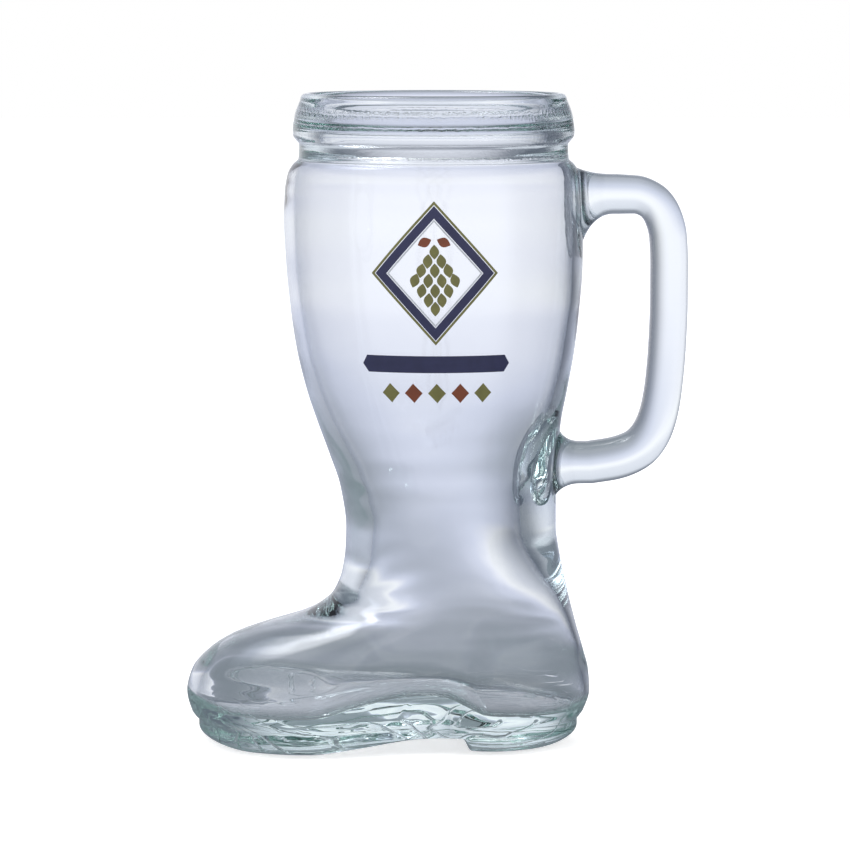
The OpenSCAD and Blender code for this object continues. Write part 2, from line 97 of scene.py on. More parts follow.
class Track:
    """A smooth curve through one value at each of several rising keys."""

    def __init__(self, keys: Sequence[float], values: Sequence[float]) -> None:
        """Keeps the keys and values and works out the slope at each key.

        Args:
            keys: Rising keys.
            values: The value at each key.
        """
        self.keys = list(keys)
        self.values = list(values)
        self.slopes = [self._slope(i) for i in range(len(self.keys))]

    def _chord(self, i: int) -> float:
        """Returns the straight slope of span i."""
        return (self.values[i + 1] - self.values[i]) / (self.keys[i + 1] - self.keys[i])

    def _slope(self, i: int) -> float:
        """Works out the slope at a key, level where the values turn.

        Args:
            i: The key's place in the list.

        Returns:
            The slope.
        """
        before = self._chord(max(i - 1, 0))
        after = self._chord(min(i, len(self.keys) - 2))
        return 2 * before * after / (before + after) if before * after > 0 else 0.0

    def at(self, key: float) -> float:
        """Returns the value at a key, held level beyond both ends.

        Args:
            key: The key.

        Returns:
            The value on the curve.
        """
        i = min(max(bisect_right(self.keys, key) - 1, 0), len(self.keys) - 2)
        h = self.keys[i + 1] - self.keys[i]
        t = min(max((key - self.keys[i]) / h, 0.0), 1.0)
        a, b = self.values[i], self.values[i + 1]
        leave, arrive = self.slopes[i] * h, self.slopes[i + 1] * h
        return (
            a + t * leave
            + t * t * (3 * (b - a) - 2 * leave - arrive)
            + t * t * t * (2 * (a - b) + leave + arrive)
        )


@dataclass(frozen=True)
class Row:
    """The outline of the boot at one height, seen from the mouth's axis."""

    z: float
    front: float
    back: float
    foot: float = 0.0
    width: float = 1.0
    half: float = 0.0
    wall: float = 0.0

    def values(self) -> tuple[float, ...]:
        """Returns all but the height."""
        return (self.front, self.back, self.foot, self.width, self.half, self.wall)


class Profile:
    """Rows joined by smooth curves."""

    def __init__(self, rows: Sequence[Row], falling: bool = False) -> None:
        """Sets up one curve for each value of the rows.

        Args:
            rows: The rows in order of height.
            falling: True where the heights fall.
        """
        self.sign = -1 if falling else 1
        keys = [self.sign * row.z for row in rows]
        self.tracks = [Track(keys, column) for column in zip(*(row.values() for row in rows))]

    def at(self, z: float) -> Row:
        """Returns the row at height z."""
        return Row(z, *(track.at(self.sign * z) for track in self.tracks))


@dataclass
class BootForm:
    """The sizes of the boot and the outlines that follow from them."""

    glass_h: float = 0.197
    calf_drop: float = 0.037
    ankle_h: float = 0.066
    calf_r: float = 0.0451
    ankle_r: float = 0.0319
    ankle_lean: float = 0.0053
    lip_r: float = 0.040
    collar_r: float = 0.0424
    neck_r: float = 0.0405
    collar_h: float = 0.0165
    mouth_r: float = 0.0362
    throat_r: float = 0.0342
    throat_drop: float = 0.0105
    lip_round: float = 0.0018
    toe_reach: float = 0.0752
    heel_reach: float = 0.0476
    ball_w: float = 0.069
    waist_w: float = 0.0535
    heel_w: float = 0.0575
    crease_h: float = 0.0074
    edge_h: float = 0.0054
    sole_round: float = 0.012
    arch_h: float = 0.0056
    heel_block_l: float = 0.036
    breast_slant: float = 0.0036
    body_wall: float = 0.003
    ankle_front_wall: float = 0.006
    ankle_back_wall: float = 0.0080
    ankle_side_wall: float = 0.0034
    toe_wall: float = 0.003
    heel_wall: float = 0.002
    foot_side_wall: float = 0.0032
    floor_h: float = 0.0122
    hump_h: float = 0.018
    floor_fillet: float = 0.003
    handle_reach: float = 0.0767
    drop_share: float = 1.5
    ball_share: float = 0.6
    heel_share: float = 0.48
    # Powers of the outlines: an ellipse's, what the foot adds to it, and how an inset draws in the ends
    ellipse_power: int = 2
    foot_power: int = 1
    pull_power: int = 5
    # Outside: height, front, back, and in the foot how far its own width counts, and its scale
    foot_shares: tuple = (
        (0.00, 0.926, 0.64, 1.00, 0.955), (0.04, 0.969, 0.82, 1.00, 0.985), (0.145, 1.000, 1.00, 1.00, 1),
        (0.25, 0.969, 0.96, 0.88, 1), (0.345, 0.872, 0.825, 0.62, 1), (0.42, 0.733, 0.705, 0.38, 1),
        (0.477, 0.541, 0.61, 0.22, 1), (0.525, 0.340, 0.54, 0.13, 1), (0.578, 0.193, 0.46, 0.06, 1),
        (0.655, 0.082, 0.355, 0.02, 1), (0.77, 0.025, 0.21, 0.00, 1), (0.89, 0.004, 0.08, 0.00, 1),
        (1.00, 0.000, 0.00, 0.00, 1),
    )
    leg_shares: tuple = (
        (0.13, 0.09, 0.00), (0.235, 0.265, 0.06), (0.34, 0.46, 0.18), (0.447, 0.64, 0.42),
        (0.574, 0.795, 0.685), (0.70, 0.89, 0.86), (0.85, 0.965, 0.985), (1.00, 1.00, 1.00),
    )
    # Round stretches: height and radius
    shoulder_shares: tuple = ((0.39, 0.93), (0.634, 0.74), (0.72, 0.56), (0.79, 0.33), (0.85, 0.04), (1, 0))
    collar_shares: tuple = ((0.11, 0.02), (0.17, 0.45), (0.26, 0.93), (0.36, 1.00), (0.70, 0.60))
    throat_shares: tuple = ((0.08, 0), (0.19, 0.18), (0.31, 0.48), (0.42, 0.76), (0.58, 0.95), (0.77, 1))
    mouth_shares: tuple = ((0.35, 1.1), (0.75, 1.1), (0.87, 0.85), (1, 0))
    # Walls: height, and the wall in front, behind and at the sides, from the plain one to the ankle's
    foot_wall_shares: tuple = (
        (0.24, 0.00, 0.04, 0.0), (0.42, 0.00, 0.02, 0.0), (0.51, 0.07, 0.04, 0.1),
        (0.567, 0.30, 0.07, 0.2), (0.63, 0.65, 0.12, 0.35), (0.73, 0.95, 0.28, 0.6),
        (0.86, 1.00, 0.65, 0.9), (1.00, 0.97, 0.95, 1.0),
    )
    leg_wall_shares: tuple = (
        (0.11, 0.80, 1.00, 0.90), (0.19, 0.67, 0.87, 0.75), (0.25, 0.55, 0.66, 0.60),
        (0.36, 0.33, 0.20, 0.35), (0.45, 0.20, 0.08, 0.20), (0.58, 0.07, 0.03, 0.05),
        (0.75, 0, 0, 0), (1, 0, 0, 0),
    )
    # Curves along the underside, the cavity's floor and the heel block's front: place and height
    sole_shares: tuple = (
        (0, 0.10), (0.19, 0), (0.445, 0), (0.545, 0.13), (0.70, 0.43), (0.82, 0.73), (0.93, 0.93), (1, 1),
    )
    floor_shares: tuple = (
        (0, 0.30), (0.14, 0), (0.30, 0), (0.40, 0.43), (0.515, 0.90), (0.59, 1.00), (0.645, 0.90),
        (0.70, 0.45), (0.75, 0.03), (0.90, -0.06), (1, 0.05),
    )
    breast_shares: tuple = ((-0.15, 0), (0.08, 0.03), (0.92, 0.97), (1.15, 1))

    def __post_init__(self) -> None:
        """Works out the places, profiles and curves that follow from the sizes."""
        self.x_shift = (self.toe_reach - self.handle_reach) / 2
        self.calf_z = self.glass_h - self.calf_drop
        self.groove_z = self.glass_h - self.collar_h
        self.throat_z = self.glass_h - self.throat_drop
        self.lip_z = self.glass_h - self.lip_round
        self.ankle_front = self.ankle_r - self.ankle_lean
        self.ankle_back = self.ankle_r + self.ankle_lean
        self.breast_low = self.heel_reach - self.heel_block_l
        self.breast_top = self.breast_low - self.breast_slant
        self.drop_z = self.hump_h + self.drop_share * self.floor_fillet
        self.outer_rows = self._outer_rows()
        self.outer = Profile(self.outer_rows)
        self._set_foot_width()
        self.inner_rows = self._inner_rows()
        self.inner = Profile(self.inner_rows, falling=True)
        self._set_sole_and_floor()

    def _round_row(self, z: float, r: float, wall: float = 0.0) -> Row:
        """Returns a row of radius r about the mouth's axis."""
        return Row(z, r, r, half=r + wall, wall=wall)

    def _outer_rows(self) -> list[Row]:
        """Joins the rows of the outside.

        Returns:
            The rows, from the crease up to the lip.
        """
        rows = [
            Row(
                mix(self.crease_h, self.ankle_h, z),
                mix(self.ankle_front, self.toe_reach, toe),
                mix(self.ankle_back, self.heel_reach, heel),
                foot, width, self.ankle_r,
            )
            for z, toe, heel, foot, width in self.foot_shares
        ]
        for z, front, back in self.leg_shares:
            front_r = mix(self.ankle_front, self.calf_r, front)
            back_r = mix(self.ankle_back, self.calf_r, back)
            rows.append(Row(mix(self.ankle_h, self.calf_z, z), front_r, back_r, half=(front_r + back_r) / 2))
        for shares, low, high, wide in (
            (self.shoulder_shares, self.calf_z, self.groove_z, self.calf_r),
            (self.collar_shares, self.groove_z, self.lip_z, self.collar_r),
        ):
            rows += [self._round_row(mix(low, high, z), mix(self.neck_r, wide, r)) for z, r in shares]
        return rows + [self._round_row(self.lip_z, self.lip_r)]

    def _set_foot_width(self) -> None:
        """Sets the curve of the foot's half width along X."""
        power = self.ellipse_power + self.foot_power
        middle = (self.heel_reach - self.toe_reach) / 2
        half = (self.heel_reach + self.toe_reach) / 2
        ball_x, heel_x = -self.ball_share * self.toe_reach, self.heel_share * self.heel_reach
        ball = self.ball_w / 2 / self._end_round((ball_x - middle) / half, power)
        heel = self.heel_w / 2 / self._end_round((heel_x - middle) / half, power)
        self.side = Track(
            [-self.toe_reach, ball_x, 0, heel_x, self.heel_reach], [ball, ball, self.waist_w / 2, heel, heel]
        )

    def _inner_row(self, z: float, front_wall: float, back_wall: float, side_wall: float) -> Row:
        """Returns the outside's row at z, drawn in by a wall at the front, back and sides."""
        o = self.outer.at(z)
        return Row(z, o.front - front_wall, o.back - back_wall, o.foot, o.width, o.half, side_wall)

    def _inner_rows(self) -> list[Row]:
        """Joins the rows of the inside.

        Returns:
            The rows, from the lip down.
        """
        wall = self.body_wall
        rows = [self._round_row(self.lip_z, self.mouth_r, wall)]
        for shares, top, low, wide in (
            (self.mouth_shares, self.lip_z, self.throat_z, self.mouth_r),
            (self.throat_shares, self.throat_z, self.calf_z, self.calf_r - wall),
        ):
            rows += [self._round_row(mix(top, low, z), mix(self.throat_r, wide, r), wall) for z, r in shares]
        ankle_walls = (self.ankle_front_wall, self.ankle_back_wall, self.ankle_side_wall)
        for shares, low, high, walls in (
            (self.leg_wall_shares, self.ankle_h, self.calf_z, (wall, wall, wall)),
            (self.foot_wall_shares, 0.0, self.ankle_h, (self.toe_wall, self.heel_wall, self.foot_side_wall)),
        ):
            for z, *thick in reversed(shares):
                rows.append(self._inner_row(mix(low, high, z), *map(mix, walls, ankle_walls, thick)))
        return rows

    def _set_sole_and_floor(self) -> None:
        """Sets the curves of the underside and of the cavity's floor along X."""
        start = -self.outer_rows[0].front
        self.arch = Track(
            [mix(start, self.breast_top, x) for x, _ in self.sole_shares], [z for _, z in self.sole_shares])
        self.breast = Track([x for x, _ in self.breast_shares], [z for _, z in self.breast_shares])
        inside = self.toe_wall - self.toe_reach, self.heel_reach - self.heel_wall
        self.floor = Track([mix(*inside, x) for x, _ in self.floor_shares], [z for _, z in self.floor_shares])

    @staticmethod
    def _end_round(u: float, power: float) -> float:
        """Returns how wide an outline is at a share u of its half length."""
        return math.sqrt(max(1 - min(abs(u), 1.0) ** power, 0.0))

    def outline(self, row: Row, angle: float, inset: float = 0.0) -> tuple[float, float]:
        """Returns the point of a row's outline at an angle.

        Args:
            row: The row.
            angle: The angle from the heel's end, in radians.
            inset: How far the outline is drawn in at its ends and sides.

        Returns:
            X and Y, seen from the mouth's axis.
        """
        u = math.cos(angle)
        x = (row.back - row.front) / 2 + (row.back + row.front) / 2 * u
        full = mix(row.half, self.side.at(x), row.foot) * row.width - row.wall
        side = full * self._end_round(u, self.ellipse_power + self.foot_power * row.foot)
        y = math.copysign(side, math.sin(angle)) * (1 - inset / full)
        return x - inset * signed_power(u, self.pull_power), y

    def sole_z(self, x: float) -> float:
        """Returns the height of the underside at x: the arch, and the step down to the heel block."""
        step = self.breast.at((self.breast_low - x) / self.breast_slant)
        return self.arch_h * step * self.arch.at(min(x, self.breast_top))

    def floor_z(self, x: float) -> float:
        """Returns the height of the cavity's floor at x."""
        return mix(self.floor_h, self.hump_h, self.floor.at(x))

    def back_x(self, z: float, y: float) -> float:
        """Finds the back of the leg.

        Args:
            z: The height.
            y: How far the place is off the middle.

        Returns:
            X, seen from the mouth's axis.
        """
        row = self.outer.at(z)
        r = (row.back + row.front) / 2
        return (row.back - row.front) / 2 + math.sqrt(r * r - y * y)

    def on_front(self, s: float, z: float, lift: float) -> Point:
        """Returns a point on the printed side of the leg.

        Args:
            s: Distance round the leg from the middle of the printed side.
            z: Height.
            lift: How far the point stands off the glass.

        Returns:
            The point in the row frame.
        """
        row = self.outer.at(z)
        r = (row.back + row.front) / 2 + lift
        turn = s / self.calf_r
        return (self.x_shift + (row.back - row.front) / 2 + r * math.sin(turn), -r * math.cos(turn), z)


def select_none() -> None:
    """Leaves object mode with nothing selected."""
    if bpy.context.object and bpy.context.object.mode != "OBJECT":
        bpy.ops.object.mode_set(mode="OBJECT")
    bpy.ops.object.select_all(action="DESELECT")


def loft(name: str, rings: Sequence[Ring]) -> Piece:
    """Draws a skin up a stack of rings, as by hand: a circle is extruded ring by ring.

    Args:
        name: The piece's name.
        rings: Closed rings of equal count. The first and last have no width, and close the skin.

    Returns:
        The piece, with its doubles merged and its faces outwards.
    """
    select_none()
    count = len(rings[0])
    bpy.ops.mesh.primitive_circle_add(vertices=count, radius=1, fill_type="NOTHING")
    piece = bpy.context.object
    piece.name = piece.data.name = name
    bpy.ops.object.mode_set(mode="EDIT")
    bpy.ops.mesh.select_all(action="SELECT")
    mesh = bmesh.from_edit_mesh(piece.data)
    column = mesh.verts.layers.int.new("column")
    for i, vert in enumerate(mesh.verts):
        vert[column] = i
        vert.co = rings[0][i]
    for ring in rings[1:]:
        bpy.ops.mesh.extrude_edges_move()
        mesh = bmesh.from_edit_mesh(piece.data)
        mesh.verts.ensure_lookup_table()
        column = mesh.verts.layers.int["column"]
        for vert in mesh.verts[-count:]:
            vert.co = ring[vert[column]]
    mesh.verts.layers.int.remove(column)
    bmesh.update_edit_mesh(piece.data)
    bpy.ops.mesh.select_all(action="SELECT")
    bpy.ops.mesh.remove_doubles(threshold=DOUBLES_GAP)
    bpy.ops.mesh.dissolve_degenerate(threshold=FLAT_GAP)
    bpy.ops.mesh.normals_make_consistent(inside=False)
    bpy.ops.object.mode_set(mode="OBJECT")
    bpy.ops.object.shade_smooth()
    return piece


class RayKind(Enum):
    """The rays that see the studio's white surround instead of its plain light."""

    CAMERA = "Is Camera Ray"
    GLOSSY = "Is Glossy Ray"
    TRANSMISSION = "Is Transmission Ray"


class NodeSheet:
    """A small helper that adds and wires shader nodes."""

    def __init__(self, tree: bpy.types.NodeTree) -> None:
        """Empties the tree and keeps it."""
        self.tree = tree
        tree.nodes.clear()

    def add(self, kind: str, feeds: dict[str | int, object] | None = None,
            **settings: object) -> bpy.types.Node:
        """Adds a node.

        Args:
            kind: The node's type.
            feeds: A socket, number, vector or colour for each input, by the input's name or place.
            **settings: Attributes of the node to set.

        Returns:
            The node.
        """
        node = self.tree.nodes.new(kind)
        for key, value in settings.items():
            setattr(node, key, value)
        for key, value in (feeds or {}).items():
            target = node.inputs[key]
            if isinstance(value, Socket):
                self.tree.links.new(value, target)
            elif isinstance(value, tuple):
                target.default_value = (*value, 1.0)[:len(target.default_value)]
            elif value is not None:
                target.default_value = value
        return node

    def split(self, vector: Socket) -> bpy.types.bpy_prop_collection:
        """Returns the sockets of a vector's X, Y and Z."""
        return self.add("ShaderNodeSeparateXYZ", {0: vector}).outputs

    def vector(self, operation: str, a: Socket, b: Point | None = None) -> bpy.types.bpy_prop_collection:
        """Adds a Vector Math node and returns the sockets of its vector and its value."""
        return self.add("ShaderNodeVectorMath", {0: a, 1: b}, operation=operation).outputs

    def maths(self, operation: str, a: object, b: object = None) -> Socket:
        """Adds a Math node for sockets or numbers and returns its result's socket."""
        return self.add("ShaderNodeMath", {0: a, 1: b}, operation=operation).outputs[0]

    def times(self, *factors: object) -> Socket:
        """Adds Math nodes that multiply sockets or numbers and returns the product's socket."""
        return reduce(lambda a, b: self.maths("MULTIPLY", a, b), factors)

    def plus(self, *terms: object) -> Socket:
        """Adds Math nodes that add sockets or numbers up and returns the sum's socket."""
        return reduce(lambda a, b: self.maths("ADD", a, b), terms)

    def ramp(self, value: Socket, low: float, high: float, start: float = 0.0, end: float = 1.0) -> Socket:
        """Adds a Map Range node with soft ends.

        Args:
            value: The socket to map.
            low: The value that gives start.
            high: The value that gives end.
            start: The result at low and below.
            end: The result at high and above.

        Returns:
            The result's socket.
        """
        feeds = {"Value": value, "From Min": low, "From Max": high, "To Min": start, "To Max": end}
        return self.add("ShaderNodeMapRange", feeds, interpolation_type="SMOOTHSTEP").outputs["Result"]

    def noise(self, vector: Socket, scale: float, detail: float, distortion: float = 0.0) -> Socket:
        """Adds a Noise node and returns its value's socket."""
        feeds = {"Vector": vector, "Scale": scale, "Detail": detail, "Distortion": distortion}
        return self.add("ShaderNodeTexNoise", feeds).outputs["Fac"]

    def bump(self, height: Socket, distance: float = 1.0) -> Socket:
        """Adds a Bump node and returns its normal's socket."""
        feeds = {"Strength": 1.0, "Distance": distance, "Height": height}
        return self.add("ShaderNodeBump", feeds).outputs[0]

    def blend(self, factor: Socket, a: object, b: object) -> Socket:
        """Adds a Mix node between two colours or sockets and returns its colour's socket."""
        return self.add("ShaderNodeMix", {0: factor, 6: a, 7: b}, data_type="RGBA").outputs[2]

    def scale(self, value: Socket, stops: Sequence[tuple[float, Colour]]) -> Socket:
        """Adds a Color Ramp node.

        Args:
            value: The socket to map, from 0 to 1.
            stops: The places and colours along the ramp.

        Returns:
            The colour's socket.
        """
        node = self.add("ShaderNodeValToRGB", {"Fac": value})
        marks = node.color_ramp.elements
        while len(marks) < len(stops):
            marks.new(1.0)
        for mark, (place, colour) in zip(marks, stops):
            mark.position = place
            mark.color = (*colour, 1.0)
        return node.outputs["Color"]

    def seen_by(self, *kinds: RayKind) -> Socket:
        """Adds Light Path nodes and returns a socket that is 1 for the given kinds of ray."""
        path = self.add("ShaderNodeLightPath")
        return reduce(lambda a, b: self.maths("MAXIMUM", a, b), [path.outputs[kind.value] for kind in kinds])


def blank_material(name: str) -> tuple[Material, NodeSheet]:
    """Adds a material.

    Args:
        name: The material's name.

    Returns:
        The material and its emptied nodes.
    """
    material = bpy.data.materials.new(name)
    material.use_nodes = True
    return material, NodeSheet(material.node_tree)


@dataclass(frozen=True)
class ClearGlass:
    """Pressed soda-lime glass: a faint green depth, painted shade that darkens its colour at grazing angles,
    and slight ripples.
    """

    name: str
    face_tint: Colour = (0.982, 0.990, 1.0)
    # Painted shade: the grey-blue that the glass colour turns to at grazing angles
    edge_painted_shade: Colour = (0.30, 0.34, 0.42)
    depth_colour: Colour = (0.51, 0.89, 0.78)
    depth_density: float = 4.5
    ior: float = 1.5
    roughness: float = 0.0
    # The facing at which the painted shade at grazing angles starts
    edge_shade_start: float = 0.5
    # Broad waves and fine ripples all over
    wave_scale: float = 45.0
    wave_detail: float = 1.0
    wave_h: float = 0.00012
    ripple_scale: float = 170.0
    ripple_detail: float = 2.0
    ripple_h: float = 0.000012
    # Peel inside the collar: the level, half width and height of each band
    peel_scale: float = 900.0
    peel_detail: float = 3.0
    peel_zs: tuple = (0.1850, 0.1905, 0.1871, 0.1785, 0.1720)
    peel_ws: tuple = (0.0120, 0.0018, 0.0006, 0.0007, 0.0006)
    peel_hs: tuple = (0.00003, 0.00030, 0.00025, 0.00022, 0.00022)
    peel_r: float = 0.0385
    peel_fade: float = 0.001
    # Ragged creases inside the collar: the level and height of each
    crease_zs: tuple = (0.1720, 0.1785, 0.1840, 0.1870, 0.1905)
    crease_hs: tuple = (0.00020, 0.00016, 0.00010, 0.00020, 0.00010)
    crease_w: float = 0.00045
    crease_jitter: float = 0.0012
    # Folds and streaks in the sole, fading out above it
    sole_low: float = 0.006
    sole_top: float = 0.020
    sole_h: float = 0.0007
    sole_rest: float = 0.12
    sole_scale: Point = (48.0, 60.0, 150.0)
    sole_detail: float = 1.5
    streak_scale: Point = (20.0, 34.0, 70.0)
    streak_detail: float = 1.0
    fold_warp: float = 0.8
    streak_period: float = 0.055
    streak_w: float = 0.012
    streak_h: float = 0.00070

    def make(self) -> Material:
        """Builds the material.

        Returns:
            The material.
        """
        material, sheet = blank_material(self.name)
        # Painted shade: Layer Weight darkens the glass colour towards its grazing edges
        weight = sheet.add("ShaderNodeLayerWeight")
        edge = sheet.ramp(weight.outputs["Facing"], self.edge_shade_start, 1.0)
        glass = sheet.add("ShaderNodeBsdfPrincipled", {
            "Base Color": sheet.blend(edge, self.face_tint, self.edge_painted_shade), "Roughness": self.roughness,
            "IOR": self.ior, "Transmission Weight": 1.0, "Normal": self._ripples(sheet),
        })
        depth = sheet.add("ShaderNodeVolumeAbsorption", {
            "Color": self.depth_colour, "Density": self.depth_density,
        })
        sheet.add("ShaderNodeOutputMaterial", {"Surface": glass.outputs[0], "Volume": depth.outputs[0]})
        return material

    def _ripples(self, sheet: NodeSheet) -> Socket:
        """Adds broad waves, fine ripples, the collar's rings, and the sole's folds.

        Args:
            sheet: The material's nodes.

        Returns:
            The socket of the rippled normal.
        """
        place = sheet.add("ShaderNodeTexCoord").outputs["Object"]
        x, y, z = sheet.split(place)
        radius = sheet.maths("SQRT", sheet.plus(sheet.times(x, x), sheet.times(y, y)))
        inside = sheet.ramp(radius, self.peel_r - self.peel_fade, self.peel_r, 1.0, 0.0)
        waves = sheet.times(sheet.noise(place, self.wave_scale, self.wave_detail), self.wave_h)
        ripples = sheet.times(sheet.noise(place, self.ripple_scale, self.ripple_detail), self.ripple_h)
        rings = sheet.times(self._collar(sheet, place, z), inside)
        return sheet.bump(sheet.plus(waves, ripples, rings, self._folds(sheet, place, z)))

    @staticmethod
    def _bands(sheet: NodeSheet, level: Socket, zs: Sequence[float], halves: Sequence[float],
               heights: Sequence[float]) -> Socket:
        """Adds soft bands that ring the piece.

        Args:
            sheet: The material's nodes.
            level: The level on the piece.
            zs: The level of each band's middle.
            halves: Half of each band's width.
            heights: How high each band stands.

        Returns:
            The bands' height.
        """
        bands = []
        for middle, half, height in zip(zs, halves, heights):
            away = sheet.maths("ABSOLUTE", sheet.maths("SUBTRACT", level, middle))
            bands.append(sheet.ramp(away, 0.0, half, height, 0.0))
        return sheet.plus(*bands)

    def _collar(self, sheet: NodeSheet, place: Socket, z: Socket) -> Socket:
        """Adds the peel and the ragged creases inside the collar.

        Args:
            sheet: The material's nodes.
            place: The place on the piece.
            z: The height on the piece.

        Returns:
            Their height.
        """
        peel = sheet.times(sheet.noise(place, self.peel_scale, self.peel_detail),
                           self._bands(sheet, z, self.peel_zs, self.peel_ws, self.peel_hs))
        rough = sheet.noise(place, self.peel_scale / 2, self.peel_detail)
        shake = sheet.times(sheet.maths("SUBTRACT", rough, 0.5), self.crease_jitter)
        widths = [self.crease_w] * len(self.crease_zs)
        creases = self._bands(sheet, sheet.plus(z, shake), self.crease_zs, widths, self.crease_hs)
        return sheet.plus(peel, creases)

    def _folds(self, sheet: NodeSheet, place: Socket, z: Socket) -> Socket:
        """Adds the lengthwise folds and fine streaks in the thick glass of the sole.

        Args:
            sheet: The material's nodes.
            place: The place on the piece.
            z: The height on the piece.

        Returns:
            Their height.
        """
        kinds = ((self.sole_scale, self.sole_detail), (self.streak_scale, self.streak_detail))
        broad, fine = (
            sheet.noise(sheet.vector("MULTIPLY", place, scale)[0], 1.0, detail, self.fold_warp)
            for scale, detail in kinds
        )
        lines = sheet.maths("PINGPONG", fine, self.streak_period)
        streaks = sheet.ramp(lines, 0.0, self.streak_w, self.streak_h, 0.0)
        return sheet.times(
            sheet.plus(sheet.times(broad, self.sole_h), streaks),
            sheet.ramp(z, self.sole_low, 2 * self.sole_low, 1.0, self.sole_rest),
            sheet.ramp(z, self.sole_low, self.sole_top, 1.0, 0.0))


@dataclass(frozen=True)
class Enamel:
    """Fired opaque enamel: slightly mottled, satin, with a fine grain from the screen."""

    name: str
    colour: Colour
    mottle: float = 0.10
    cloud_scale: float = 260.0
    cloud_detail: float = 4.0
    grain_scale: float = 2600.0
    grain_detail: float = 2.0
    contrast: tuple = (0.3, 0.7)
    roughness: tuple = (0.28, 0.42)
    grain_h: float = 0.000015

    def make(self) -> Material:
        """Builds the material.

        Returns:
            The material.
        """
        material, sheet = blank_material(self.name)
        place = sheet.add("ShaderNodeTexCoord").outputs["Object"]
        dark, light = (tuple(c * share for c in self.colour) for share in (1 - self.mottle, 1 + self.mottle))
        clouds = sheet.ramp(sheet.noise(place, self.cloud_scale, self.cloud_detail), *self.contrast)
        grain = sheet.noise(place, self.grain_scale, self.grain_detail)
        paint = sheet.add("ShaderNodeBsdfPrincipled", {
            "Base Color": sheet.blend(clouds, dark, light), "Normal": sheet.bump(grain, self.grain_h),
            "Roughness": sheet.ramp(grain, *self.contrast, *self.roughness),
        })
        sheet.add("ShaderNodeOutputMaterial", {"Surface": paint.outputs[0]})
        return material


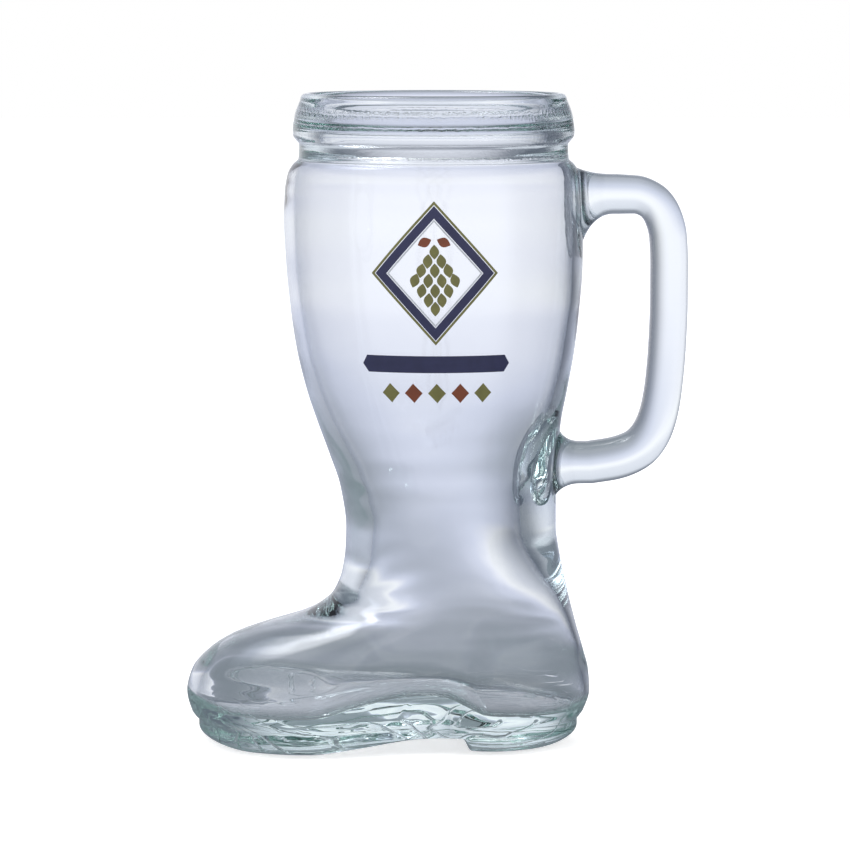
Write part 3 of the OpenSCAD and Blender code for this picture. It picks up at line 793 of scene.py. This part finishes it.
@dataclass
class Vessel:
    """The boot itself: one piece of glass from the sole up, over the lip and down to the cavity's floor."""

    form: BootForm
    name: str = "boot_glass"
    heel_steps: int = 22
    breast_steps: int = 6
    toe_steps: int = 48
    cap_steps: int = 8
    drop_steps: int = 6
    round_steps: int = 10
    lip_steps: int = 14
    gap: float = 0.0012
    angles: list[float] = field(default_factory=list)

    def __post_init__(self) -> None:
        """Sets the angle of each column, with close ones over the heel block's front."""
        row = self.form.outer_rows[0]
        places = [self.form.breast_low, self.form.breast_top]
        low, top = (math.acos((2 * x + row.front - row.back) / (row.front + row.back)) for x in places)
        half = spread(0.0, low, self.heel_steps)[:-1] + spread(low, top, self.breast_steps)[:-1]
        half += spread(top, math.pi, self.toe_steps)
        self.angles = half + [2 * math.pi - a for a in reversed(half[1:-1])]

    def _ring(self, place: Callable[[float], Point], squeeze: float = 1.0) -> Ring:
        """Makes one ring.

        Args:
            place: Gives the place at an angle, seen from the mouth's axis.
            squeeze: The scale of Y, for the rings that close the skin.

        Returns:
            The ring in the row frame.
        """
        out = []
        for angle in self.angles:
            x, y, z = place(angle)
            out.append((x + self.form.x_shift, y * squeeze, z))
        return out

    def _level(self, row: Row) -> Ring:
        """Returns the ring of a row's outline at its own height."""
        return self._ring(lambda a: (*self.form.outline(row, a), row.z))

    def _sole(self, turn: float) -> Callable[[float], Point]:
        """Returns the place of each column on the rounded edge of the sole.

        Args:
            turn: How far the ring has gone round the edge, in radians.

        Returns:
            A function that gives the place at an angle.
        """
        form, row = self.form, self.form.outer_rows[0]

        def place(angle: float) -> Point:
            """Gives the place of one column.

            Args:
                angle: The column's angle, in radians.

            Returns:
                The place, seen from the mouth's axis.
            """
            low = form.sole_z(form.outline(row, angle)[0])
            x, y = form.outline(row, angle, form.sole_round * (1 - math.cos(turn)))
            return x, y, mix(form.edge_h, low, math.sin(turn))

        return place

    def _floor(self, drop: float, turn: float) -> Callable[[float], Point]:
        """Returns the place of each column where the cavity's wall meets its floor.

        Args:
            drop: How far the ring has dropped to the fillet, from 0 to 1.
            turn: How far it has gone round the fillet, in radians.

        Returns:
            A function that gives the place at an angle.
        """
        form = self.form
        top = form.inner.at(form.drop_z)

        def place(angle: float) -> Point:
            """Gives the place of one column.

            Args:
                angle: The column's angle, in radians.

            Returns:
                The place, seen from the mouth's axis.
            """
            low = form.floor_z(form.outline(top, angle)[0]) + form.floor_fillet
            start = mix(form.drop_z, low, drop)
            x, y = form.outline(form.inner.at(start), angle, form.floor_fillet * (1 - math.cos(turn)))
            return x, y, mix(start, form.floor_z(x), math.sin(turn))

        return place

    def _lip(self) -> list[Ring]:
        """Rounds the lip over in half an oval.

        Returns:
            The rings, from the outside to the inside.
        """
        form = self.form
        middle, half = (form.lip_r + form.mouth_r) / 2, (form.lip_r - form.mouth_r) / 2
        rings = []
        for turn in spread(0.0, math.pi, self.lip_steps)[1:-1]:
            r = middle + half * math.cos(turn)
            z = form.lip_z + form.lip_round * math.sin(turn)
            rings.append(self._level(Row(z, r, r, half=r)))
        return rings

    def rings(self) -> list[Ring]:
        """Joins all rings of the boot.

        Returns:
            The rings, from the middle of the underside to the middle of the cavity's floor.
        """
        form, quarter = self.form, math.pi / 2
        rings = [self._ring(self._sole(quarter), s) for s in spread(0.0, 1.0, self.cap_steps)[:-1]]
        rings += [self._ring(self._sole(turn)) for turn in spread(quarter, 0.0, self.round_steps)]
        outer = refine([row.z for row in form.outer_rows], self.gap)
        rings += [self._level(form.outer.at(z)) for z in outer]
        rings += self._lip()
        inner = [z for z in refine([row.z for row in form.inner_rows], self.gap) if z > form.drop_z]
        rings += [self._level(form.inner.at(z)) for z in inner]
        rings += [self._ring(self._floor(drop, 0.0)) for drop in spread(0.0, 1.0, self.drop_steps)[:-1]]
        rings += [self._ring(self._floor(1.0, turn)) for turn in spread(0.0, quarter, self.round_steps)]
        rings += [self._ring(self._floor(1.0, quarter), s) for s in spread(1.0, 0.0, self.cap_steps)[1:]]
        return rings

    def build(self, glass: Material) -> Piece:
        """Builds and dresses the boot.

        Args:
            glass: The glass material.

        Returns:
            The piece.
        """
        piece = loft(self.name, self.rings())
        piece.data.materials.append(glass)
        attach(piece, "root")
        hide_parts("vessel")
        return piece


@dataclass
class Handle:
    """The solid glass handle, with a flared root at each end fused into the leg."""

    form: BootForm
    name: str = "handle_glass"
    bar_t: float = 0.0114
    arm_t: float = 0.0128
    bar_w: float = 0.016
    upper_drop: float = 0.0302
    lower_h: float = 0.0855
    upper_flare: float = 0.009
    lower_flare: float = 0.0065
    bar_power: float = 2.6
    sunk: float = 0.0008
    section_steps: int = 56
    bar_steps: int = 9
    round_steps: int = 14
    cap_steps: int = 6
    aim_steps: float = 0.25
    # How much each flare widens the arm upwards, downwards and sideways
    upper_flare_shares: tuple = (0.35, 1.5, 0.4)
    lower_flare_shares: tuple = (1.00, 0.95, 0.5)
    # The bar's middle line: reach, height, and thickness from the bar's to the arm's
    bar_shares: tuple = (
        (0.38, 1.00, 0.45), (0.60, 0.998, 0.15), (0.79, 0.975, 0), (0.92, 0.92, 0), (0.985, 0.84, 0),
        (1.00, 0.73, 0), (1.00, 0.60, 0), (0.985, 0.45, 0), (0.957, 0.326, 0), (0.91, 0.215, 0.10),
        (0.825, 0.125, 0.35), (0.65, 0.052, 0.70), (0.385, 0.016, 1), (0.08, 0.00, 1),
    )

    def __post_init__(self) -> None:
        """Works out the middle line and the section of the bar."""
        self.upper_z = self.form.glass_h - self.upper_drop
        bar_x = self.form.handle_reach - self.bar_t / 2
        keys = [float(i) for i in range(len(self.bar_shares))]
        self.line_x = Track(keys, [mix(self.form.calf_r, bar_x, x) for x, _, _ in self.bar_shares])
        self.line_z = Track(keys, [mix(self.lower_h, self.upper_z, z) for _, z, _ in self.bar_shares])
        self.half_t = Track(keys, [mix(self.bar_t, self.arm_t, thick) / 2 for _, _, thick in self.bar_shares])
        turns = [2 * math.pi * i / self.section_steps for i in range(self.section_steps)]
        power = 2 / self.bar_power
        self.section = [(signed_power(math.cos(a), power), signed_power(math.sin(a), power)) for a in turns]

    def _bar_ring(self, k: float) -> Ring:
        """Makes a ring round the bar.

        Args:
            k: The place on the bar's middle line, counted in shares.

        Returns:
            The ring in the row frame.
        """
        ahead = min(k + self.aim_steps, len(self.bar_shares) - 1)
        behind = max(k - self.aim_steps, 0.0)
        way = Vector([line.at(ahead) - line.at(behind) for line in (self.line_x, self.line_z)])
        way.normalize()
        x, z, half = self.line_x.at(k) + self.form.x_shift, self.line_z.at(k), self.half_t.at(k)
        return [(x - way[1] * t * half, y * self.bar_w / 2, z + way[0] * t * half) for y, t in self.section]

    def _root_ring(self, z: float, flare: float, shares: Sequence[float], turn: float, flip: int,
                   size: float = 1.0) -> Ring:
        """Returns one ring of a root.

        Args:
            z: The height of the arm's middle.
            flare: The root's length.
            shares: How much the flare widens the arm upwards, downwards and sideways.
            turn: 0 on the leg and a quarter turn at the plain bar, in radians.
            flip: -1 at the lower root, where the bar runs back to the leg.
            size: The ring's size beside the seat's, for the rings that close it.

        Returns:
            The ring in the row frame.
        """
        spread_out = flare * (1 - math.sin(turn))
        half = self.half_t.values[0 if flip > 0 else -1]
        ring = []
        for across, up in self.section:
            rise = up * flip
            y = size * across * (self.bar_w / 2 + spread_out * shares[2])
            h = size * rise * (half + spread_out * shares[0 if rise > 0 else 1])
            seat, end = self.form.back_x(z + h, y) - self.sunk, self.form.back_x(z, 0.0) + flare
            ring.append((mix(seat, end, 1 - math.cos(turn)) + self.form.x_shift, y, z + h))
        return ring

    def _root(self, z: float, flare: float, shares: Sequence[float], flip: int) -> list[Ring]:
        """Joins the rings of a root.

        Args:
            z: The height of the arm's middle.
            flare: The root's length.
            shares: How much the flare widens the arm upwards, downwards and sideways.
            flip: -1 at the lower root, where the bar runs back to the leg.

        Returns:
            The rings, from the middle of the root's seat out to the bar.
        """
        sizes = spread(0.0, 1.0, self.cap_steps)[:-1]
        rings = [self._root_ring(z, flare, shares, 0.0, flip, size) for size in sizes]
        turns = spread(0.0, math.pi / 2, self.round_steps)
        return rings + [self._root_ring(z, flare, shares, turn, flip) for turn in turns]

    def rings(self) -> list[Ring]:
        """Joins all rings of the handle.

        Returns:
            The rings, from the upper seat round to the lower one.
        """
        steps = (len(self.bar_shares) - 1) * self.bar_steps
        bar = [self._bar_ring(i / self.bar_steps) for i in range(steps + 1)]
        upper = self._root(self.upper_z, self.upper_flare, self.upper_flare_shares, 1)
        lower = self._root(self.lower_h, self.lower_flare, self.lower_flare_shares, -1)
        return upper + bar + lower[::-1]

    def build(self, glass: Material) -> Piece:
        """Builds and dresses the handle.

        Args:
            glass: The glass material.

        Returns:
            The piece.
        """
        piece = loft(self.name, self.rings())
        piece.data.materials.append(glass)
        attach(piece, "root")
        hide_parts("handle")
        return piece


@dataclass
class EnamelPrint:
    """The print on the leg: an upright lozenge round a cone of scales, a bar, and a row of diamonds."""

    form: BootForm
    drop: float = 0.014
    lozenge_w: float = 0.019
    lozenge_h: float = 0.021
    stripe_l: float = 0.024
    stripe_h: float = 0.005
    space: float = 0.0032
    diamond_r: float = 0.0029
    sunk: float = 0.00004
    thickness: float = 0.00014
    side_steps: int = 22
    across_steps: int = 4
    stripe_steps: int = 48
    leaf_steps: int = 12
    diamond_steps: int = 8
    smooth_angle: float = math.radians(35)
    # Outer and inner size of each frame
    gold_frame_shares: tuple = (1.0, 0.95)
    navy_frame_shares: tuple = (0.935, 0.76)
    silver_frame_shares: tuple = (0.745, 0.715)
    # Rows of the cone: how many scales, and their height over the centre
    cone_shares: tuple = ((1, 0.40), (2, 0.27), (3, 0.14), (4, 0.00), (3, -0.14), (2, -0.27), (1, -0.39))
    # A scale's length, half width and spacing
    scale_shares: tuple = (0.2, 0.075, 0.185)
    scale_lean: float = math.radians(12)
    # A leaf's foot, outwards and upwards, its length and its half width
    leaf_shares: tuple = (0.045, 0.47, 0.22, 0.075)
    leaf_lean: float = math.radians(112)
    tip_share: float = 0.06
    stripe_end_share: float = 0.03
    spacing_share: float = 0.32

    def __post_init__(self) -> None:
        """Sets the height of the lozenge's centre."""
        self.centre_z = self.form.calf_z - self.drop

    def _patch(self, name: str, along: int, place: Callable[[float, float], tuple[float, float]],
               closed: bool = False) -> Piece:
        """Makes one patch of enamel from a grid that is wrapped on the leg and thickened.

        Args:
            name: The patch's name.
            along: Steps along the patch.
            place: Gives the distance round the leg and the height at shares along and across.
            closed: True where the far end meets the near one.

        Returns:
            The patch.
        """
        select_none()
        bpy.ops.mesh.primitive_grid_add(x_subdivisions=along, y_subdivisions=self.across_steps, size=1)
        piece = bpy.context.object
        piece.name = piece.data.name = name
        for vert in piece.data.vertices:
            s, z = place(vert.co.x + 0.5, vert.co.y + 0.5)
            vert.co = self.form.on_front(s, z, -self.sunk)
        bpy.ops.object.mode_set(mode="EDIT")
        bpy.ops.mesh.select_all(action="SELECT")
        if closed:
            bpy.ops.mesh.remove_doubles(threshold=SEAM_GAP)
        bpy.ops.mesh.normals_make_consistent(inside=False)
        bpy.ops.object.mode_set(mode="OBJECT")
        if piece.data.polygons[0].normal.y > 0:
            piece.data.flip_normals()
        skin = piece.modifiers.new("thickness", "SOLIDIFY")
        skin.thickness = self.thickness
        skin.offset = 1.0
        bpy.ops.object.modifier_apply(modifier=skin.name)
        return piece

    def _frame(self, name: str, shares: Sequence[float]) -> Piece:
        """Makes a lozenge frame.

        Args:
            name: The patch's name.
            shares: Its outer and inner size beside the lozenge's.

        Returns:
            The patch.
        """
        corners = ((0, 1), (-1, 0), (0, -1), (1, 0), (0, 1))

        def place(u: float, v: float) -> tuple[float, float]:
            """Gives the place of one grid point.

            Args:
                u: The share along the patch.
                v: The share across it.

            Returns:
                The distance round the leg, and the height.
            """
            side = min(int(u * 4 + SEAM_GAP), 3)
            t, size = u * 4 - side, mix(shares[0], shares[1], v)
            a, b = corners[side], corners[side + 1]
            return (
                mix(a[0], b[0], t) * self.lozenge_w * size,
                self.centre_z + mix(a[1], b[1], t) * self.lozenge_h * size,
            )

        return self._patch(name, 4 * self.side_steps, place, closed=True)

    def _leaf(self, name: str, foot: tuple[float, float], length: float, half_w: float,
              lean: float) -> Piece:
        """Makes a leaf.

        Args:
            name: The patch's name.
            foot: The place of its foot.
            length: Its length.
            half_w: Half its width.
            lean: How far it leans clockwise, in radians.

        Returns:
            The patch.
        """
        def place(u: float, v: float) -> tuple[float, float]:
            """Gives the place of one grid point.

            Args:
                u: The share along the patch.
                v: The share across it.

            Returns:
                The distance round the leg, and the height.
            """
            wide = half_w * mix(self.tip_share, 1.0, math.sin(math.pi * min(max(u, 0.0), 1.0)))
            along, across = u * length, (2 * v - 1) * wide
            return (
                foot[0] + along * math.sin(lean) + across * math.cos(lean),
                foot[1] + along * math.cos(lean) - across * math.sin(lean),
            )

        return self._patch(name, self.leaf_steps, place)

    def _cone(self) -> list[Piece]:
        """Makes the cone's scales, row by row.

        Returns:
            The patches.
        """
        length, half_w, gap = self.scale_shares
        scales = []
        for count, height in self.cone_shares:
            for i in range(count):
                side = i - (count - 1) / 2
                foot = (side * gap * self.lozenge_w, self.centre_z + height * self.lozenge_h)
                scales.append(self._leaf("scale", foot, length * self.lozenge_h, half_w * self.lozenge_w,
                                         math.pi - self.scale_lean * side))
        return scales

    def _leaf_pair(self) -> list[Piece]:
        """Makes the two leaves over the cone.

        Returns:
            The patches.
        """
        out, up, length, half_w = self.leaf_shares
        return [
            self._leaf("leaf", (side * self.lozenge_w * out, self.centre_z + self.lozenge_h * up),
                       self.lozenge_w * length, self.lozenge_w * half_w, side * self.leaf_lean)
            for side in (-1, 1)
        ]

    def _stripe(self) -> Piece:
        """Makes the bar under the lozenge.

        Returns:
            The patch.
        """
        middle = self.centre_z - self.lozenge_h - self.space - self.stripe_h / 2

        def place(u: float, v: float) -> tuple[float, float]:
            """Gives the place of one grid point.

            Args:
                u: The share along the patch.
                v: The share across it.

            Returns:
                The distance round the leg, and the height.
            """
            at_end = min(u, 1 - u) * self.stripe_steps < 0.5
            tall = self.stripe_h / 2 * (self.stripe_end_share if at_end else 1.0)
            slant = 0.0 if at_end else self.stripe_h / 3
            inner = self.stripe_steps - 2
            pulled = max(min(u * self.stripe_steps / inner - 1 / inner, 1.0), 0.0)
            s = mix(-self.stripe_l + slant, self.stripe_l - slant, pulled)
            return s, middle + (2 * v - 1) * tall

        return self._patch("stripe", self.stripe_steps, place)

    def _diamonds(self, places: Sequence[int]) -> list[Piece]:
        """Makes diamonds of the row under the bar.

        Args:
            places: Their places in the row, counted from the middle.

        Returns:
            The patches.
        """
        middle = self.centre_z - self.lozenge_h - 2 * self.space - self.stripe_h - self.diamond_r
        made = []
        for i in places:
            centre = i * self.spacing_share * self.stripe_l

            def place(u: float, v: float, centre: float = centre) -> tuple[float, float]:
                """Gives the place of one grid point.

                Args:
                    u: The share along the patch.
                    v: The share across it.
                    centre: The middle of the diamond, as a distance round the leg.

                Returns:
                    The distance round the leg, and the height.
                """
                tall = self.diamond_r * max(1 - abs(2 * u - 1), self.stripe_end_share)
                return centre + self.diamond_r * (2 * u - 1), middle + (2 * v - 1) * tall

            made.append(self._patch("diamond", self.diamond_steps, place))
        return made

    def _join(self, name: str, node: str, patches: Sequence[Piece],
              paint: Material) -> Piece:
        """Joins the patches of one colour and dresses them.

        Args:
            name: The piece's name.
            node: The CAD node that it stands for.
            patches: The patches.
            paint: The enamel.

        Returns:
            The piece.
        """
        select_none()
        for patch in patches:
            patch.select_set(True)
        bpy.context.view_layer.objects.active = patches[0]
        if len(patches) > 1:
            bpy.ops.object.join()
        piece = patches[0]
        piece.name = piece.data.name = name
        piece.data.materials.clear()
        piece.data.materials.append(paint)
        bpy.ops.object.shade_smooth_by_angle(angle=self.smooth_angle)
        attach(piece, "root")
        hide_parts(node)
        return piece

    def build(self, paints: dict[str, Material]) -> list[Piece]:
        """Builds and dresses the four colours.

        Args:
            paints: The enamel of each colour.

        Returns:
            The four pieces.
        """
        return [
            self._join("enamel_navy", "print_navy",
                       [self._frame("navy_frame", self.navy_frame_shares), self._stripe()], paints["navy"]),
            self._join("enamel_gold", "print_gold",
                       [self._frame("gold_frame", self.gold_frame_shares), *self._cone(),
                        *self._diamonds((-2, 0, 2))], paints["gold"]),
            self._join("enamel_rust", "print_rust",
                       [*self._leaf_pair(), *self._diamonds((-1, 1))], paints["rust"]),
            self._join("enamel_silver", "print_silver",
                       [self._frame("silver_frame", self.silver_frame_shares)], paints["silver"]),
        ]


@dataclass
class Softbox:
    """One large lamp of the studio."""

    name: str
    place: Point
    size: tuple[float, float]
    power: float
    aim: Point = (0.0, 0.0, 0.09)

    def build(self) -> None:
        """Adds the lamp, which no gloss or glass shows, and turns it to its aim."""
        lamp = bpy.data.lights.new(self.name, "AREA")
        lamp.shape = "RECTANGLE"
        lamp.size, lamp.size_y = self.size
        lamp.energy = self.power
        holder = bpy.data.objects.new(self.name, lamp)
        holder.location = self.place
        way = Vector(self.aim) - Vector(self.place)
        holder.rotation_euler = way.to_track_quat("-Z", "Y").to_euler()
        holder.visible_glossy = holder.visible_transmission = False
        bpy.context.scene.collection.objects.link(holder)


@dataclass
class Studio:
    """A pale floor under a white surround, soft lamps, and the photograph's camera."""

    camera_d: float = 1.1
    camera_h: float = 0.224
    camera_x: float = -0.00333
    aim_z: float = 0.0968
    px_per_metre: float = 3300.0
    image_w: float = 850.0
    sensor_w: float = 36.0
    sight_d: float = 50.0
    floor_half: float = 6.0
    floor_colour: Colour = (0.80, 0.80, 0.80)
    # The floor's white to the camera, near the boot and far off
    near_lift: float = 0.62
    far_lift: float = 1.0
    near_d: float = 0.12
    far_d: float = 0.9
    # The surround in glass and gloss: the floor's painted shade by distance, darker near the boot, and the
    # sky's tones by height
    floor_shade_d: float = 0.6
    floor_painted_shade: tuple = (
        (0.00, (0.13, 0.15, 0.17)), (0.12, (0.22, 0.25, 0.28)), (0.19, (0.26, 0.29, 0.33)),
        (0.27, (0.33, 0.355, 0.41)), (0.41, (0.50, 0.53, 0.63)), (0.47, (0.59, 0.62, 0.74)),
        (0.54, (0.66, 0.69, 0.82)), (0.73, (0.88, 0.89, 0.97)), (0.88, (0.95, 0.96, 1.00)),
    )
    sky: tuple = (
        (0.00, (0.95, 0.96, 1.00)), (0.10, (0.78, 0.80, 0.88)), (0.34, (0.70, 0.73, 0.81)),
        (0.52, (0.24, 0.26, 0.31)), (0.74, (0.24, 0.26, 0.31)), (0.88, (0.95, 0.97, 1.00)),
    )
    room: Colour = (0.08, 0.095, 0.13)
    gain: float = 1.07
    # Fades of the surround: the directions between which each runs, and the light at both
    left_fade: tuple = (-0.95, -0.42, 0.10, 1.0)
    right_fade: tuple = (0.03, 0.64, 1.0, 0.06)
    front_fade: tuple = (-0.62, -0.12, 0.0, 1.0)
    front_lift: float = 0.90
    object_half: float = 0.08
    # A bright patch overhead, for gloss alone
    glint_way: Point = (-0.43, 0.30, 0.85)
    glint_fade: tuple = (0.925, 0.99, 0.0, 6.0)
    # Where along X the floor's painted shade is centred
    floor_shade_x: float = 0.02
    plain_light: float = 0.55
    bounces: int = 32

    def build(self) -> None:
        """Builds the whole studio."""
        self._camera()
        self._floor()
        self._world()
        for box in (
            Softbox("key", (-0.9, -1.0, 1.2), (0.9, 0.9), 9.0),
            Softbox("fill", (1.2, -0.8, 0.9), (0.8, 0.8), 4.0),
            Softbox("top", (0.0, 0.7, 1.5), (1.3, 0.7), 9.0),
        ):
            box.build()
        scene = bpy.context.scene
        scene.view_settings.view_transform = "Standard"
        scene.cycles.max_bounces = self.bounces
        scene.cycles.transmission_bounces = self.bounces
        scene.cycles.glossy_bounces = self.bounces

    def _camera(self) -> None:
        """Adds the camera at the photograph's viewing angle."""
        lens = bpy.data.cameras.new("camera")
        eye = Vector((self.camera_x, -self.camera_d, self.camera_h))
        aim = Vector((self.camera_x, 0.0, self.aim_z))
        reach = (aim - eye).length
        lens.sensor_width = self.sensor_w
        lens.lens = self.sensor_w * self.px_per_metre * reach / self.image_w
        lens.clip_end = self.sight_d
        camera = bpy.data.objects.new("camera", lens)
        camera.location = eye
        camera.rotation_euler = (aim - eye).to_track_quat("-Z", "Y").to_euler()
        bpy.context.scene.collection.objects.link(camera)
        bpy.context.scene.camera = camera

    def _floor(self) -> None:
        """Adds the floor, which is white to the camera but for the boot's shadow, and which glows for glass
        and gloss with painted shade, darker near the boot and at the sides.
        """
        select_none()
        bpy.ops.mesh.primitive_plane_add(size=2 * self.floor_half)
        floor = bpy.context.object
        floor.name = "floor"
        material, sheet = blank_material("floor")
        place = sheet.add("ShaderNodeTexCoord").outputs["Object"]
        x, y, _ = sheet.split(place)
        reach = sheet.vector("LENGTH", place)["Value"]
        near = sheet.vector("SUBTRACT", place, (self.floor_shade_x, 0.0, 0.0))[0]
        away = sheet.vector("LENGTH", near)["Value"]
        # Painted shade: glass and gloss see the floor glow darker near the boot
        tone = sheet.scale(sheet.maths("DIVIDE", away, sheet.plus(away, self.floor_shade_d)), self.floor_painted_shade)
        around = self._around(sheet, *(
            sheet.maths("DIVIDE", sheet.maths(shift, along, self.object_half), reach)
            for shift, along in (("ADD", x), ("SUBTRACT", x), ("ADD", y))))
        rise = sheet.ramp(reach, self.near_d, self.far_d, self.near_lift, self.far_lift)
        plain = sheet.add("ShaderNodeBsdfDiffuse", {"Color": self.floor_colour})
        lift = sheet.add("ShaderNodeEmission", {"Strength": sheet.times(sheet.seen_by(RayKind.CAMERA), rise)})
        lit = sheet.add("ShaderNodeAddShader", {0: plain.outputs[0], 1: lift.outputs[0]})
        # The glow seen in glass and gloss, with painted shade towards the room colour at the sides
        glow = sheet.add("ShaderNodeEmission", {
            "Color": sheet.blend(around, self.room, tone), "Strength": self.gain,
        })
        both = sheet.add("ShaderNodeMixShader", {
            0: sheet.seen_by(RayKind.GLOSSY, RayKind.TRANSMISSION), 1: lit.outputs[0], 2: glow.outputs[0],
        })
        sheet.add("ShaderNodeOutputMaterial", {"Surface": both.outputs[0]})
        floor.data.materials.append(material)

    def _around(self, sheet: NodeSheet, left: Socket, right: Socket, behind: Socket) -> Socket:
        """Fades the surround towards the room at both sides, and keeps it light in front.

        Args:
            sheet: The nodes.
            left: How far a direction points to +X, for the fade on the left.
            right: How far a direction points to +X, for the fade on the right.
            behind: How far a direction points to +Y.

        Returns:
            The socket of the light's share.
        """
        back = sheet.ramp(behind, *self.front_fade)
        front = sheet.times(sheet.maths("SUBTRACT", 1.0, back), self.front_lift)
        sides = sheet.times(sheet.ramp(left, *self.left_fade), sheet.ramp(right, *self.right_fade), back)
        return sheet.plus(sides, front)

    def _world(self) -> None:
        """Sets the white surround, which fades round the sides and overhead for glass and gloss."""
        world = bpy.data.worlds.new("surround")
        bpy.context.scene.world = world
        world.use_nodes = True
        sheet = NodeSheet(world.node_tree)
        way = sheet.add("ShaderNodeTexCoord").outputs["Generated"]
        x, y, z = sheet.split(way)
        glint = sheet.ramp(sheet.vector("DOT_PRODUCT", way, self.glint_way)["Value"], *self.glint_fade)
        glint = sheet.times(glint, sheet.seen_by(RayKind.GLOSSY))
        lit = sheet.seen_by(RayKind.CAMERA)
        tone = sheet.blend(self._around(sheet, x, x, y), self.room, sheet.scale(z, self.sky))
        unlit = sheet.times(sheet.maths("SUBTRACT", 1.0, lit), self.gain - 1.0)
        white = sheet.add("ShaderNodeBackground", {
            "Color": sheet.blend(lit, tone, WHITE), "Strength": sheet.plus(unlit, 1.0, glint),
        })
        plain = sheet.add("ShaderNodeBackground", {"Color": WHITE, "Strength": self.plain_light})
        both = sheet.add("ShaderNodeMixShader", {
            0: sheet.seen_by(*RayKind), 1: plain.outputs[0], 2: white.outputs[0],
        })
        sheet.add("ShaderNodeOutputWorld", {"Surface": both.outputs[0]})


def main() -> None:
    """Builds the studio, the boot, its handle and its print, and reports each piece."""
    logging.basicConfig(level=logging.INFO, format="%(message)s")
    Studio().build()
    form = BootForm()
    body_glass = ClearGlass("boot_glass").make()
    bar_glass = ClearGlass("handle_glass").make()
    paints = {
        "navy": Enamel("enamel_navy", (0.025, 0.028, 0.080)).make(),
        "gold": Enamel("enamel_gold", (0.160, 0.155, 0.050)).make(),
        "rust": Enamel("enamel_rust", (0.190, 0.050, 0.020)).make(),
        "silver": Enamel("enamel_silver", (0.48, 0.51, 0.56)).make(),
    }
    pieces = [Vessel(form).build(body_glass), Handle(form).build(bar_glass)]
    pieces += EnamelPrint(form).build(paints)
    for piece in pieces:
        LOG.info("%s: %d faces", piece.name, len(piece.data.polygons))


if __name__ == "__main__":
    main()
